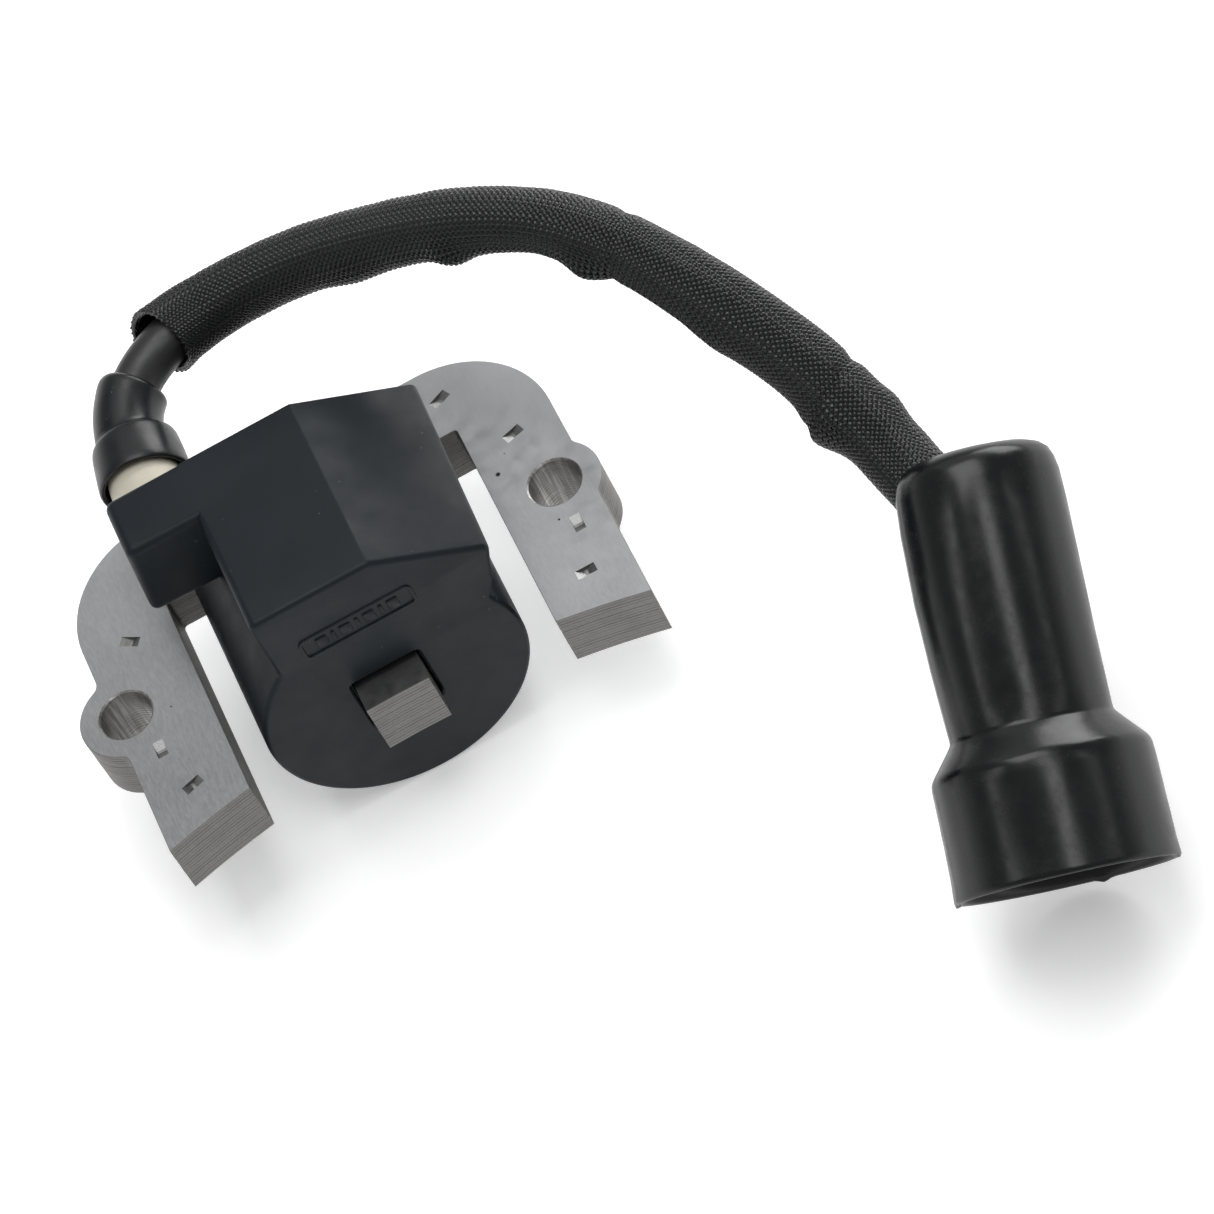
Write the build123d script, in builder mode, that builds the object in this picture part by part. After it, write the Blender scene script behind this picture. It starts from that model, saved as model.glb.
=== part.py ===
"""Ignition coil of a small engine, with its high-tension lead and plug boot.

Millimetres. The origin is the midpoint between the two mounting holes, on the underside of the
lamination stack. X runs from the left leg to the right leg, Y from the pole ends to the yoke, Z up.
"""

import os
from math import pi, radians, tan

from build123d import *

os.makedirs("parts", exist_ok=True)

# ---------------------------------------------------------------- driving dimensions

# Lamination stack
stack_height = 8.6
hole_spacing = 60.3
hole_radius = 3.45
core_x = 1.2                  # centre line of the coil, to the right of the holes' midpoint
leg_inner = 21.15             # side legs, from the coil's centre line
leg_outer = 33.2
centre_leg_width = 8.6
yoke_inner = 15.1
yoke_back = 26.05
yoke_corner_radius = 13.85
flywheel_radius = 122.2       # the pole ends lie on this arc
flywheel_y = -139.8
lug_radius = 6.15
dimple_size = (2.6, 1.5, 0.5)

# Coil housing
axis_z = stack_height / 2     # the coil's axis runs along Y through the middle of the stack
body_radius = 17.45
front_y = -13.9
back_y = 14.6
wall = 1.6
block_left = -10.0
block_top = 28.6
ridge_x = 6.2
shoulder = (20.5, 20.6)       # lower end of the sloping facet
block_edge = 1.0
leg_window = (9.2, 9.8)       # the leg's clear way through the coil
window_z = 4.7

# Tower arm, tower and cap
arm_top_left = -19.7
arm_bottom_left = -20.9
arm_front = 5.4
arm_back = 14.9
arm_bottom = 16.0
tower_x = -14.4
tower_z = 22.1
tower_base_radius = 4.95
tower_end_radius = 4.4
tower_end_y = 23.6
tower_socket_depth = 2.0

# Windings
primary_radius = 9.0
primary_flange_radius = 9.2
secondary_tube_radius = 10.1
secondary_winding_radius = 13.0
secondary_flange_radius = 13.6
secondary_start = -11.5
chamber_count = 5
chamber_width = 3.84
flange_width = 0.8

# Electronics
board_bottom = 19.2
board_top = 20.4

# High-tension lead
lead_radius = 3.15
conductor_radius = 1.2
sleeve_radius = 4.3
sleeve_wall = 0.6
neck_radius = 4.2

# Plug boot, measured along its own axis from its closed top
boot_top = Vector(75.1, -38.8, 23.9)
boot_axis = Vector(-0.273, -0.828, -0.490).normalized()
boot_length = 51.4
boot_radius = 9.6
boot_edge = 3.0
shoulder_start = 33.0
shoulder_end = 37.5
bell_radius = 13.25
bell_wall = 1.15
bore_radius = 5.2
bore_start = 24.0
bore_end = 35.0
bore_flare = 1.5
chamber_radius = 4.3
chamber_top = 9.0

# ---------------------------------------------------------------- shared planes and routes

front_plane = Plane.XZ.offset(-front_y)
cavity_plane = Plane.XZ.offset(-(front_y + wall))
hole_places = [(-hole_spacing / 2, 0), (hole_spacing / 2, 0)]

# The lead rises from the tower, turns sharply to the right, arches over the coil's back and
# comes down behind the boot, where it enters the boot's side.
lead_route = [
    (-14.4, 15.5, 22.1),
    (-14.3, 22.0, 22.2),
    (-13.7, 29.2, 23.1),
    (-9.8, 35.0, 23.6),
    (-2.4, 38.3, 24.3),
    (7.4, 38.0, 26.0),
    (20.0, 31.8, 30.8),
    (36.5, 18.5, 38.4),
    (47.8, 7.6, 39.9),
    (56.0, -4.6, 35.2),
    (62.4, -15.6, 28.2),
    (66.0, -23.6, 22.6),
    (68.3, -34.0, 18.2),
    (70.5, -45.3, 17.6),
]


def corner_radii(points):
    """Largest arc that each corner of a route allows: 0.45 of its shorter run."""
    radii = []
    for before, corner, after in zip(points, points[1:], points[2:]):
        arriving = Vector(*corner) - Vector(*before)
        leaving = Vector(*after) - Vector(*corner)
        half_turn = radians(arriving.get_angle(leaving)) / 2
        radii.append(0.45 * min(arriving.length, leaving.length) / tan(half_turn))
    return radii


def along(start, end, part):
    """Point a part of the way from one route point to the next."""
    return tuple(a + (b - a) * part for a, b in zip(start, end))


lead_radii = corner_radii(lead_route)
cap_points = [along(lead_route[1], lead_route[2], 0.5), lead_route[2]]
cap_points.append(along(lead_route[2], lead_route[3], 0.5))
sleeve_points = [along(lead_route[3], lead_route[4], 0.5)] + lead_route[4:13]
sleeve_points.append(along(lead_route[12], lead_route[13], 0.48))
sleeve_radii = lead_radii[3:12]
print("lead radii", [round(radius, 1) for radius in lead_radii])


def tube(points, radii, outer, inner=0.0):
    """Straight runs joined by tangent arcs, swept as a rod or as a hollow tube."""
    with BuildPart() as swept:
        with BuildLine():
            route = FilletPolyline(*points, radius=radii)
        with BuildSketch(route ^ 0):
            Circle(outer)
            if inner:
                Circle(inner, mode=Mode.SUBTRACT)
        sweep()
    section_area = pi * (outer ** 2 - inner ** 2)
    print("tube volume", round(swept.part.volume), "of", round(section_area * route.length),
          "length", round(route.length, 1))
    return swept.part


def finish(part, label):
    part.label = label
    export_step(part, f"parts/{label}.step")


# ---------------------------------------------------------------- lamination stack

window_width = leg_inner - centre_leg_width / 2
window_offset = (leg_inner + centre_leg_width / 2) / 2
pole_y = -26.0                # beyond the pole ends, before the flywheel arc trims them

dimple_places = [(21.05, 20.8), (27.2, 10.1), (29.15, -7.4), (27.3, -14.75)]

with BuildPart() as lamination_stack:
    with BuildSketch():
        with BuildLine():
            Polyline(
                (core_x - leg_outer, pole_y), (core_x - leg_outer, yoke_back),
                (core_x + leg_outer, yoke_back), (core_x + leg_outer, pole_y), close=True)
        make_face()
        fillet(vertices().group_by(Axis.Y)[-1], yoke_corner_radius)
        with Locations(*hole_places):
            Circle(lug_radius)
        with Locations((core_x - window_offset, (yoke_inner + pole_y) / 2),
                       (core_x + window_offset, (yoke_inner + pole_y) / 2)):
            Rectangle(window_width, yoke_inner - pole_y, mode=Mode.SUBTRACT)
        with Locations((core_x, flywheel_y)):
            Circle(flywheel_radius, mode=Mode.SUBTRACT)
        with Locations(*hole_places):
            Circle(hole_radius, mode=Mode.SUBTRACT)
    extrude(amount=stack_height)
    for side in (-1, 1):
        with Locations(*[(core_x + side * x, y, stack_height) for x, y in dimple_places]):
            Box(*dimple_size, align=(Align.CENTER, Align.CENTER, Align.MAX), mode=Mode.SUBTRACT)
finish(lamination_stack.part, "lamination_stack")

# ---------------------------------------------------------------- high-voltage terminal

terminal_radius = 1.0
spike_radius = 0.6
spike_tip_y = 19.0
terminal_y = 10.0
terminal_inner_x = -7.6
spike_base_y = lead_route[0][1]

with BuildPart() as high_voltage_terminal:
    with BuildSketch(Plane.YZ.offset(tower_x - terminal_radius)):
        with Locations((terminal_y, tower_z)):
            Circle(terminal_radius)
    extrude(amount=terminal_inner_x - tower_x + terminal_radius)
    with BuildSketch(Plane.XZ.offset(-terminal_y)):
        with Locations((tower_x, tower_z)):
            Circle(terminal_radius)
    extrude(amount=terminal_y - spike_base_y)
    with BuildSketch(Plane.XZ.offset(-spike_base_y)):
        with Locations((tower_x, tower_z)):
            Circle(spike_radius)
    extrude(amount=spike_base_y - spike_tip_y)
finish(high_voltage_terminal.part, "high_voltage_terminal")

# ---------------------------------------------------------------- coil housing

plate_centre = (1.5, 19.95)
plate_size = (15.4, 3.8)
plate_line = 0.5
plate_relief = 0.3


def coil_section(plane, inset=0.0):
    """Round lower body and angular block in one outline, drawn in a plane across the axis."""
    with BuildSketch(plane) as section:
        with BuildLine():
            Polyline(
                (block_left, axis_z), (block_left, block_top), (ridge_x, block_top), shoulder,
                (19.3, 17.5), (18.4, 15.0), (16.9, 12.0), (ridge_x, axis_z), close=True)
        make_face()
        fillet(vertices().filter_by(lambda vertex: vertex.Y > shoulder[1] - 1), block_edge)
        with Locations((core_x, axis_z)):
            Circle(body_radius)
        if inset:
            offset(amount=-inset, kind=Kind.INTERSECTION)
    return section.sketch


with BuildPart() as coil_housing:
    extrude(coil_section(front_plane), amount=front_y - back_y)
    with BuildSketch(Plane.XZ.offset(-arm_front)):
        with BuildLine():
            Polyline(
                (block_left + wall / 2, block_top), (arm_top_left, block_top),
                (arm_bottom_left, arm_bottom), (block_left + wall / 2, arm_bottom), close=True)
        make_face()
        fillet(vertices().group_by(Axis.X)[0], 1.5)
        fillet(vertices().group_by(Axis.X)[1], 1.5)
    extrude(amount=arm_front - arm_back)
    extrude(coil_section(cavity_plane, wall), amount=front_y + wall - back_y, mode=Mode.SUBTRACT)
    with BuildSketch(front_plane):
        with Locations((core_x, window_z)):
            Rectangle(leg_window[0] + 1.8, leg_window[1] + 1.8)
    extrude(amount=-wall, mode=Mode.SUBTRACT)
    with BuildSketch(Plane.XZ.offset(-arm_back)):
        with Locations((tower_x, tower_z)):
            Circle(tower_base_radius)
    extrude(amount=tower_socket_depth, mode=Mode.SUBTRACT)
    with BuildSketch(front_plane):
        with Locations(plate_centre):
            SlotOverall(*plate_size)
            SlotOverall(plate_size[0] - 2 * plate_line, plate_size[1] - 2 * plate_line,
                        mode=Mode.SUBTRACT)
    extrude(amount=plate_relief)
    add(high_voltage_terminal.part, mode=Mode.SUBTRACT)
finish(coil_housing.part, "coil_housing")

# ---------------------------------------------------------------- primary bobbin and winding

bobbin_wall = 0.9
bobbin_back = 14.3
primary_start = -11.4
primary_end = 12.2

with BuildPart() as ground_strip:
    with BuildSketch(Plane.XY.offset(stack_height)):
        with Locations((core_x, 1.9)):
            Rectangle(3.0, 23.6)
    extrude(amount=0.4)
    with BuildSketch(Plane.XY.offset(stack_height)):
        with Locations((core_x, 13.5)):
            Rectangle(3.0, 0.4)
    extrude(amount=board_bottom - stack_height)
finish(ground_strip.part, "ground_strip")

with BuildPart() as primary_bobbin_blank:
    with BuildSketch(front_plane):
        with Locations((core_x, window_z)):
            Rectangle(leg_window[0] + 2 * bobbin_wall, leg_window[1] + 2 * bobbin_wall)
    extrude(amount=front_y - bobbin_back)
    for flange_y in (primary_start - flange_width, primary_end):
        with BuildSketch(Plane.XZ.offset(-flange_y)):
            with Locations((core_x, axis_z)):
                Circle(primary_flange_radius)
        extrude(amount=-flange_width)
    with BuildSketch(front_plane):
        with Locations((core_x, window_z)):
            Rectangle(*leg_window)
    extrude(amount=front_y - bobbin_back, mode=Mode.SUBTRACT)
    add(ground_strip.part, mode=Mode.SUBTRACT)

with BuildPart() as primary_winding:
    with BuildSketch(Plane.XZ.offset(-primary_start)):
        with Locations((core_x, axis_z)):
            Circle(primary_radius)
        with Locations((core_x, window_z)):
            Rectangle(leg_window[0] + 2 * bobbin_wall, leg_window[1] + 2 * bobbin_wall,
                      mode=Mode.SUBTRACT)
    extrude(amount=primary_start - primary_end)
finish(primary_winding.part, "primary_winding")

# ---------------------------------------------------------------- secondary bobbin and winding

chamber_pitch = chamber_width + flange_width
secondary_length = chamber_count * chamber_pitch + flange_width


def ring(start_y, length, outer, inner):
    """Ring around the coil's axis."""
    with BuildPart() as made:
        with BuildSketch(Plane.XZ.offset(-start_y)):
            with Locations((core_x, axis_z)):
                Circle(outer)
                Circle(inner, mode=Mode.SUBTRACT)
        extrude(amount=-length)
    return made.part


secondary_inner = primary_flange_radius + 0.1

with BuildPart() as secondary_bobbin:
    add(ring(secondary_start, secondary_length, secondary_tube_radius, secondary_inner))
    for index in range(chamber_count + 1):
        add(ring(secondary_start + index * chamber_pitch, flange_width,
                 secondary_flange_radius, secondary_inner))
finish(secondary_bobbin.part, "secondary_bobbin")

secondary_sections = []
for index in range(chamber_count):
    chamber_y = secondary_start + flange_width + index * chamber_pitch
    section = ring(chamber_y, chamber_width, secondary_winding_radius, secondary_tube_radius)
    finish(section, f"secondary_section_{index + 1}")
    secondary_sections.append(section)

# ---------------------------------------------------------------- circuit board and its parts

board_left = -5.5
board_right = 16.5
board_front = -11.8
board_back = 13.8

with BuildPart() as circuit_board:
    with BuildSketch(Plane.XY.offset(board_bottom)):
        with Locations(((board_left + board_right) / 2, (board_front + board_back) / 2)):
            RectangleRounded(board_right - board_left, board_back - board_front, 1.0)
    extrude(amount=board_top - board_bottom)
finish(circuit_board.part, "circuit_board")

with BuildPart() as power_transistor:
    with Locations((0.5, -6.4, board_top)):
        Box(10.0, 9.0, 4.4, align=(Align.CENTER, Align.CENTER, Align.MIN))
    with Locations((0.5, 0.3, board_top)):
        Box(10.0, 4.4, 1.3, align=(Align.CENTER, Align.CENTER, Align.MIN))
    with Locations((0.5, 0.6, board_top)):
        Cylinder(1.0, 2.6, mode=Mode.SUBTRACT)
finish(power_transistor.part, "power_transistor")

with BuildPart() as control_chip:
    with Locations((11.0, -6.5, board_top)):
        Box(4.0, 5.0, 1.6, align=(Align.CENTER, Align.CENTER, Align.MIN))
    for side in (-1, 1):
        for pin in range(4):
            with Locations((11.0 + side * 2.5, -8.4 + pin * 1.27, board_top)):
                Box(1.0, 0.45, 0.5, align=(Align.CENTER, Align.CENTER, Align.MIN))
finish(control_chip.part, "control_chip")

with BuildPart() as capacitor:
    with BuildSketch(Plane.XY.offset(board_top)):
        with Locations((1.8, 9.0)):
            RectangleRounded(7.2, 5.6, 0.8)
    extrude(amount=5.6)
finish(capacitor.part, "capacitor")


def axial_part(label, x, y, body_length, body_radius_mm, wire_span):
    """Diode or resistor lying along Y, with a wire at each end bent down to the board."""
    height = board_top + body_radius_mm
    wire_radius = 0.3
    with BuildPart() as made:
        with Locations((x, y, height)):
            Cylinder(body_radius_mm, body_length, rotation=(90, 0, 0))
            Cylinder(wire_radius, wire_span, rotation=(90, 0, 0))
        for side in (-1, 1):
            with Locations((x, y + side * (wire_span / 2 - wire_radius), board_top)):
                Cylinder(wire_radius, body_radius_mm + wire_radius,
                         align=(Align.CENTER, Align.CENTER, Align.MIN))
    finish(made.part, label)
    return made.part


rectifier_diode = axial_part("rectifier_diode", 8.2, 8.0, 4.6, 1.3, 8.4)
clamp_diode = axial_part("clamp_diode", 11.6, 8.0, 3.6, 0.95, 7.2)
resistor_1 = axial_part("resistor_1", 9.8, 1.2, 3.4, 0.85, 6.0)
resistor_2 = axial_part("resistor_2", 12.6, 1.2, 3.4, 0.85, 6.0)
board_parts = [
    power_transistor.part, control_chip.part, capacitor.part,
    rectifier_diode, clamp_diode, resistor_1, resistor_2,
]

# ---------------------------------------------------------------- internal wires

wire_y = 13.4
wire_radius = 0.35
wire_bottom = axis_z + 6.8


def primary_wire(label, x):
    """From the end of the primary winding, through its flange, up to the board."""
    with BuildPart() as made:
        with BuildSketch(Plane.XZ.offset(-primary_end)):
            with Locations((x, wire_bottom + wire_radius)):
                Circle(wire_radius)
        extrude(amount=primary_end - wire_y - wire_radius)
        with BuildSketch(Plane.XY.offset(wire_bottom + wire_radius)):
            with Locations((x, wire_y)):
                Circle(wire_radius)
        extrude(amount=board_bottom - wire_bottom - wire_radius)
    finish(made.part, label)
    return made.part


primary_wire_start = primary_wire("primary_wire_start", core_x - 4.0)
primary_wire_end = primary_wire("primary_wire_end", core_x + 4.0)

with BuildPart() as primary_bobbin:
    add(primary_bobbin_blank.part)
    add(primary_wire_start, mode=Mode.SUBTRACT)
    add(primary_wire_end, mode=Mode.SUBTRACT)
finish(primary_bobbin.part, "primary_bobbin")

high_voltage_wire_x = terminal_inner_x + 0.4
high_voltage_wire_offset = core_x - high_voltage_wire_x
high_voltage_wire_foot = axis_z + (secondary_winding_radius ** 2
                                   - high_voltage_wire_offset ** 2) ** 0.5

with BuildPart() as high_voltage_wire:
    with BuildSketch(Plane.XY.offset(high_voltage_wire_foot - 0.6)):
        with Locations((high_voltage_wire_x, terminal_y)):
            Circle(0.3)
    extrude(amount=tower_z - high_voltage_wire_foot + 0.6)
    add(high_voltage_terminal.part, mode=Mode.SUBTRACT)
    add(secondary_sections[-1], mode=Mode.SUBTRACT)
finish(high_voltage_wire.part, "high_voltage_wire")

# ---------------------------------------------------------------- potting compound

potting_back = 14.0

with BuildPart() as potting_compound:
    extrude(coil_section(cavity_plane, wall), amount=front_y + wall - potting_back)
    with BuildSketch(front_plane):
        with Locations((core_x, window_z)):
            Rectangle(leg_window[0] + 2 * bobbin_wall, leg_window[1] + 2 * bobbin_wall)
    extrude(amount=front_y - bobbin_back, mode=Mode.SUBTRACT)
    add(primary_bobbin.part, mode=Mode.SUBTRACT)
    add(primary_winding.part, mode=Mode.SUBTRACT)
    add(secondary_bobbin.part, mode=Mode.SUBTRACT)
    for section in secondary_sections:
        add(section, mode=Mode.SUBTRACT)
    add(circuit_board.part, mode=Mode.SUBTRACT)
    for board_part in board_parts:
        add(board_part, mode=Mode.SUBTRACT)
    for wire in (primary_wire_start, primary_wire_end, high_voltage_wire.part, ground_strip.part):
        add(wire, mode=Mode.SUBTRACT)
    add(high_voltage_terminal.part, mode=Mode.SUBTRACT)
finish(potting_compound.part, "potting_compound")

# ---------------------------------------------------------------- tower

tower_plane = Plane(origin=(tower_x, 0, tower_z), x_dir=(1, 0, 0), z_dir=(0, 0, 1))
tower_axis = Axis((tower_x, 0, tower_z), (0, 1, 0))
tower_start = arm_back - tower_socket_depth
tower_taper = arm_back + 3.0
tower_bore_radius = lead_radius + 0.15

lead_rod = tube(lead_route, lead_radii, lead_radius)

with BuildPart() as tower_insulator:
    with BuildSketch(tower_plane):
        with BuildLine():
            Polyline(
                (0, tower_start), (tower_base_radius, tower_start), (tower_base_radius, tower_taper),
                (tower_end_radius, tower_end_y), (tower_bore_radius, tower_end_y),
                (tower_bore_radius, spike_base_y), (0, spike_base_y), close=True)
        make_face()
    revolve(axis=tower_axis)
    add(high_voltage_terminal.part, mode=Mode.SUBTRACT)
    add(lead_rod, mode=Mode.SUBTRACT)
finish(tower_insulator.part, "tower_insulator")

# ---------------------------------------------------------------- spike and spring in the boot

spring_start = 15.2
spring_radius = 3.6
spring_wire = 0.5
spring_pitch = 1.5
spring_length = 7.5
spike_head = 0.5
spike_inside = 4.0
spike_outside = 6.3


def boot_section(depth):
    """Plane across the boot, its normal toward the mouth."""
    return Plane(origin=boot_top + boot_axis * depth, x_dir=(1, 0, 0), z_dir=boot_axis)


lead_end = Vector(*lead_route[-1])
lead_end_direction = (lead_end - Vector(*lead_route[-2])).normalized()

with BuildPart() as lead_spike:
    with BuildSketch(Plane(origin=lead_end - lead_end_direction * spike_inside,
                           z_dir=lead_end_direction)):
        Circle(spike_radius)
    extrude(amount=spike_inside + spike_outside)
    with BuildSketch(boot_section(spring_start - spring_wire - spike_head)):
        Circle(spring_radius)
    extrude(amount=spike_head)
finish(lead_spike.part, "lead_spike")

with BuildPart() as terminal_spring:
    with BuildLine():
        spring_path = Helix(pitch=spring_pitch, height=spring_length, radius=spring_radius,
                            center=boot_top + boot_axis * spring_start, direction=boot_axis)
    with BuildSketch(spring_path ^ 0):
        Circle(spring_wire)
    sweep(is_frenet=True)
finish(terminal_spring.part, "terminal_spring")

# ---------------------------------------------------------------- lead, conductor and sleeve

sleeve_rod = tube(sleeve_points, sleeve_radii, sleeve_radius)

with BuildPart() as lead_insulation:
    add(tube(lead_route, lead_radii, lead_radius, conductor_radius))
    add(lead_spike.part, mode=Mode.SUBTRACT)
finish(lead_insulation.part, "lead_insulation")

with BuildPart() as lead_conductor:
    add(tube(lead_route, lead_radii, conductor_radius))
    add(high_voltage_terminal.part, mode=Mode.SUBTRACT)
    add(lead_spike.part, mode=Mode.SUBTRACT)
finish(lead_conductor.part, "lead_conductor")

with BuildPart() as braided_sleeve:
    add(tube(sleeve_points, sleeve_radii, sleeve_radius, sleeve_radius - sleeve_wall))
finish(braided_sleeve.part, "braided_sleeve")

# ---------------------------------------------------------------- rubber cap on the tower

cap_axis = Vector(0.11, 0.99, 0.09).normalized()
cap_rim = Vector(tower_x, 19.7, tower_z)
cap_rings = [(0.0, 5.8), (5.0, 5.5), (8.2, 4.5)]

with BuildPart() as tower_cap:
    for distance, radius in cap_rings:
        with BuildSketch(Plane(origin=cap_rim + cap_axis * distance, x_dir=(0, 0, 1),
                               z_dir=cap_axis)):
            Circle(radius)
    loft(ruled=True)
    add(tube(cap_points, [lead_radii[1]], neck_radius))
    with BuildSketch(tower_plane):
        with BuildLine():
            Polyline(
                (0, tower_taper), (tower_base_radius, tower_taper),
                (tower_end_radius, tower_end_y), (0, tower_end_y), close=True)
        make_face()
    revolve(axis=tower_axis, mode=Mode.SUBTRACT)
    add(lead_rod, mode=Mode.SUBTRACT)
finish(tower_cap.part, "tower_cap")

# ---------------------------------------------------------------- plug boot

boot_profile_plane = Plane(origin=boot_top, x_dir=boot_axis, z_dir=boot_axis.cross(Vector(0, 0, 1)))

with BuildPart() as plug_boot:
    with BuildSketch(boot_profile_plane):
        with BuildLine():
            Polyline(
                (0, 0), (0, boot_radius - boot_edge), (boot_edge, boot_radius),
                (shoulder_start, boot_radius), (shoulder_end, bell_radius - 0.3),
                (boot_length, bell_radius), (boot_length, bell_radius - bell_wall),
                (shoulder_end + 1.5, bell_radius - bell_wall - 0.2),
                (bore_end + bore_flare, bore_radius + 0.8), (bore_end, bore_radius),
                (bore_start, bore_radius), (bore_start, chamber_radius),
                (chamber_top, chamber_radius), (chamber_top, 0), close=True)
        make_face()
    revolve(axis=Axis(boot_top, boot_axis))
    add(sleeve_rod, mode=Mode.SUBTRACT)
    add(lead_rod, mode=Mode.SUBTRACT)
finish(plug_boot.part, "plug_boot")
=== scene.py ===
"""Looks of the ignition coil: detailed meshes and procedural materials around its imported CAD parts.

Lengths in this file are millimetres, in the frame of the CAD: they become metres where a Blender
object is made. The origin is the midpoint between the mounting holes, on the stack's underside.
"""

import math
import random

import bmesh
import bpy
from mathutils import Matrix, Vector, noise
from mathutils.geometry import tessellate_polygon


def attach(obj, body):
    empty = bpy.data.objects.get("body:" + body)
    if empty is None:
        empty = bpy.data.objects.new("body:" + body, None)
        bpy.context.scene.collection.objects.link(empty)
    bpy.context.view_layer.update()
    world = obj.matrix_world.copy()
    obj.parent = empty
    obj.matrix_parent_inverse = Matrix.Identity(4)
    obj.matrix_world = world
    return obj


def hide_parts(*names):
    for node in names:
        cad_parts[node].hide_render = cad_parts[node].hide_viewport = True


MM = 0.001
UP = Vector((0.0, 0.0, 1.0))

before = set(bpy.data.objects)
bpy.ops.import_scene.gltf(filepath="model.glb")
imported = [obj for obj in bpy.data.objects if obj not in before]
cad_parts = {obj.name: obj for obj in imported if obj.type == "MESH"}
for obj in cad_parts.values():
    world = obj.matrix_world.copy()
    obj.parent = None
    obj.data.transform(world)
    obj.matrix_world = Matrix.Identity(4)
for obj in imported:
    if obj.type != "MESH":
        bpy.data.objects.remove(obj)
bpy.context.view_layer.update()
scene = bpy.context.scene

# ---- dimensions shared with the CAD

CORE_X = 1.2
STACK_HEIGHT = 8.6
PLATE_COUNT = 17
LEG_INNER = 21.15
LEG_OUTER = 33.2
CENTRE_LEG = 4.3
YOKE_INNER = 15.1
YOKE_BACK = 26.05
YOKE_CORNER = 13.85
FLYWHEEL_RADIUS = 122.2
FLYWHEEL_Y = -139.8
HOLE_X = 30.15
HOLE_RADIUS = 3.45
LUG_RADIUS = 6.15

AXIS_Z = 4.3
BODY_RADIUS = 17.45
FRONT_Y = -13.9
BACK_Y = 14.6
WALL = 1.6
BLOCK_LEFT = -10.0
BLOCK_TOP = 28.6
WINDOW_Z = 4.7
FLOOR_Z = AXIS_Z - BODY_RADIUS

TOWER = Vector((-14.4, 0.0, 22.1))
LEAD_RADIUS = 3.15
CONDUCTOR_RADIUS = 1.2

BOOT_TOP = Vector((75.1, -38.8, 23.9))
BOOT_AXIS = Vector((-0.273, -0.828, -0.490)).normalized()

# The lead's route, the same points as in part.py
LEAD_ROUTE = [
    (-14.4, 15.5, 22.1),
    (-14.3, 22.0, 22.2),
    (-13.7, 29.2, 23.1),
    (-9.8, 35.0, 23.6),
    (-2.4, 38.3, 24.3),
    (7.4, 38.0, 26.0),
    (20.0, 31.8, 30.8),
    (36.5, 18.5, 38.4),
    (47.8, 7.6, 39.9),
    (56.0, -4.6, 35.2),
    (62.4, -15.6, 28.2),
    (66.0, -23.6, 22.6),
    (68.3, -34.0, 18.2),
    (70.5, -45.3, 17.6),
]

# ---- camera

CAMERA_TARGET = Vector((28.7, -21.2, 8.6))
CAMERA_DISTANCE = 678.5
CAMERA_AZIMUTH = math.radians(1.47)
CAMERA_ELEVATION = math.radians(51.8)
CAMERA_ROLL = math.radians(29.65)
CAMERA_LENS = 166.1


def make_camera():
    azimuth, elevation, roll = CAMERA_AZIMUTH, CAMERA_ELEVATION, CAMERA_ROLL
    back = Vector((math.sin(azimuth) * math.cos(elevation),
                   -math.cos(azimuth) * math.cos(elevation), math.sin(elevation)))
    level = Vector((math.cos(azimuth), math.sin(azimuth), 0.0))
    upright = back.cross(level)
    up = upright * math.cos(roll) + level * math.sin(roll)
    right = level * math.cos(roll) - upright * math.sin(roll)
    data = bpy.data.cameras.new("camera")
    data.lens = CAMERA_LENS
    data.clip_start = 0.01
    camera = bpy.data.objects.new("camera", data)
    scene.collection.objects.link(camera)
    turn = Matrix((right, up, back)).transposed()
    position = (CAMERA_TARGET + back * CAMERA_DISTANCE) * MM
    camera.matrix_world = Matrix.Translation(position) @ turn.to_4x4()
    scene.camera = camera


make_camera()

# ---- the lead's smooth line


def curve_object(name, route, radius, resolution=12):
    """A NURBS curve with the route's points as its control points, in metres."""
    data = bpy.data.curves.new(name, "CURVE")
    data.dimensions = "3D"
    data.resolution_u = resolution
    data.bevel_depth = radius * MM
    data.bevel_resolution = 7
    data.use_fill_caps = radius > 0
    spline = data.splines.new("NURBS")
    spline.points.add(len(route) - 1)
    for point, (x, y, z) in zip(spline.points, route):
        point.co = (x * MM, y * MM, z * MM, 1.0)
    spline.order_u = 3
    spline.use_endpoint_u = True
    made = bpy.data.objects.new(name, data)
    scene.collection.objects.link(made)
    return made


def spline_points(route, resolution):
    """Points of the route's own NURBS spline, in millimetres, as Blender evaluates it."""
    guide = curve_object("guide", route, 0.0, resolution)
    bpy.context.view_layer.update()
    mesh = bpy.data.meshes.new_from_object(guide)
    points = [vertex.co / MM for vertex in mesh.vertices]
    bpy.data.objects.remove(guide)
    bpy.data.meshes.remove(mesh)
    return points


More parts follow.
